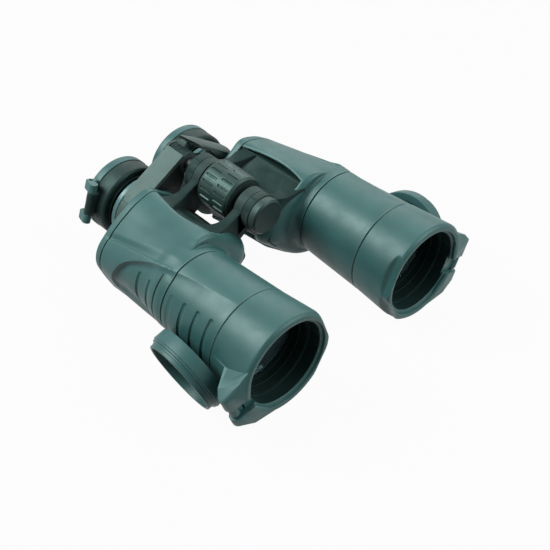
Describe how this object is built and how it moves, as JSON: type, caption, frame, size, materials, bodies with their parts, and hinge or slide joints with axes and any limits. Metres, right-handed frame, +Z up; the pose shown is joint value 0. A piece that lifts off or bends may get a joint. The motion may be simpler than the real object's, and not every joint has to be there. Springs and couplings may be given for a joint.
{
  "type": "binoculars",
  "caption": "Folding binoculars with offset prism housings, rubber armour, a central focus wheel with a bridge, and hinged caps on the objectives and eyepieces.",
  "frame": {"origin": "under the middle of the bounding box, on the surface that the binoculars rest on", "axes": "+Z up, -Y the way the objectives look, +X towards the half at the user's left"},
  "size_m": [0.222, 0.1972, 0.0826],
  "materials": {
    "armour": "satin grey-green rubber",
    "cap": "satin grey-green rubber",
    "eyecup": "soft black",
    "housing": "fine grain dark grey",
    "bridge": "fine grain dark grey paint",
    "barrel": "black anodised",
    "lens": "coated",
    "prism": "polished",
    "shelf": "black anodised",
    "steel": "plain",
    "brass": "plain",
    "ring": "satin grey-green",
    "knob": "fine grain dark grey",
    "grip": "ribbed dark grey"
  },
  "bodies": {
    "right_half": {"right_objective_tube": "barrel", "right_objective_crown": "lens", "right_objective_flint": "lens", "right_objective_retainer": "barrel", "right_armour_tube": "armour", "right_front_hood": "armour", "right_objective_cap_pin": "steel", "right_armour_prism": "armour", "right_armour_rear": "armour", "right_prism_housing": "housing", "right_rear_cover": "housing", "right_cover_screws": "steel", "right_prism_rear": "prism", "right_prism_front": "prism", "right_prism_shelf": "shelf", "front_axle": "steel", "rear_axle": "steel", "tripod_socket": "brass"},
    "left_half": {"left_objective_tube": "barrel", "left_objective_crown": "lens", "left_objective_flint": "lens", "left_objective_retainer": "barrel", "left_armour_tube": "armour", "left_front_hood": "armour", "left_objective_cap_pin": "steel", "left_armour_prism": "armour", "left_armour_rear": "armour", "left_prism_housing": "housing", "left_rear_cover": "housing", "left_cover_screws": "steel", "left_prism_rear": "prism", "left_prism_front": "prism", "left_prism_shelf": "shelf"},
    "focus_wheel": {"focus_wheel": "knob", "focus_grip": "grip"},
    "right_carriage": {"right_bridge_arm": "bridge", "right_eyepiece_sleeve": "barrel", "focus_spindle": "steel", "bridge_cap": "knob"},
    "left_carriage": {"left_bridge_arm": "bridge", "left_eyepiece_sleeve": "barrel", "left_eyepiece_ring": "ring", "left_ocular_cell": "barrel", "left_field_lens": "lens", "left_eye_lens": "lens", "left_eyecup": "eyecup", "left_eyepiece_cap_pin": "steel"},
    "diopter_ring": {"diopter_ring": "ring"},
    "right_ocular": {"right_ocular_cell": "barrel", "right_field_lens": "lens", "right_eye_lens": "lens", "right_eyecup": "eyecup", "right_eyepiece_cap_pin": "steel"},
    "left_objective_cap": {"left_objective_cap": "cap"},
    "right_objective_cap": {"right_objective_cap": "cap"},
    "left_eyepiece_cap": {"left_eyepiece_cap": "cap"},
    "right_eyepiece_cap": {"right_eyepiece_cap": "cap"},
    "tripod_cap": {"tripod_cap": "knob"}
  },
  "joints": [
    {"name": "interpupillary_hinge", "type": "hinge", "parent": "right_half", "child": "left_half", "pos_m": [0, 0, 0.06681], "axis": [0, -1, 0], "range_deg": [0, 40]},
    {"name": "focus_wheel_turn", "type": "hinge", "parent": "right_half", "child": "focus_wheel", "pos_m": [0, 0.0174, 0.06681], "axis": [0, 1, 0], "range_deg": [-185, 185]},
    {"name": "right_focus_slide", "type": "slide", "parent": "right_half", "child": "right_carriage", "axis": [0, 1, 0], "range_m": [-0.004, 0.004]},
    {"name": "left_focus_slide", "type": "slide", "parent": "left_half", "child": "left_carriage", "axis": [0, 1, 0], "range_m": [-0.0041, 0.0041]},
    {"name": "diopter_turn", "type": "hinge", "parent": "right_carriage", "child": "diopter_ring", "pos_m": [-0.0276, 0.0734, 0.03381], "axis": [0, 1, 0], "range_deg": [-46, 46]},
    {"name": "diopter_slide", "type": "slide", "parent": "right_carriage", "child": "right_ocular", "axis": [0, 1, 0], "range_m": [-0.0015, 0.0015]},
    {"name": "left_objective_cap_hinge", "type": "hinge", "parent": "left_half", "child": "left_objective_cap", "pos_m": [0.09619, -0.0928, 0.02533], "axis": [-0.3746, 0, -0.9272], "range_deg": [0, 273]},
    {"name": "right_objective_cap_hinge", "type": "hinge", "parent": "right_half", "child": "right_objective_cap", "pos_m": [-0.09619, -0.0928, 0.02533], "axis": [-0.3746, 0, 0.9272], "range_deg": [0, 273]},
    {"name": "left_eyepiece_cap_hinge", "type": "hinge", "parent": "left_carriage", "child": "left_eyepiece_cap", "pos_m": [0.05344, 0.0895, 0.02064], "axis": [-0.454, 0, -0.891], "range_deg": [0, 180]},
    {"name": "right_eyepiece_cap_hinge", "type": "hinge", "parent": "right_ocular", "child": "right_eyepiece_cap", "pos_m": [-0.05533, 0.0895, 0.04229], "axis": [0.2924, 0, 0.9563], "range_deg": [0, 180]},
    {"name": "tripod_cap_pull", "type": "slide", "parent": "right_half", "child": "tripod_cap", "axis": [0, -1, 0], "range_m": [0, 0.032]}
  ],
  "couplings": [
    {"joint": "focus_wheel_turn", "follows": "right_focus_slide", "rad_per_m": 785.4},
    {"joint": "left_focus_slide", "follows": "right_focus_slide", "ratio": 1},
    {"joint": "diopter_turn", "follows": "diopter_slide", "rad_per_m": 523.6}
  ]
}
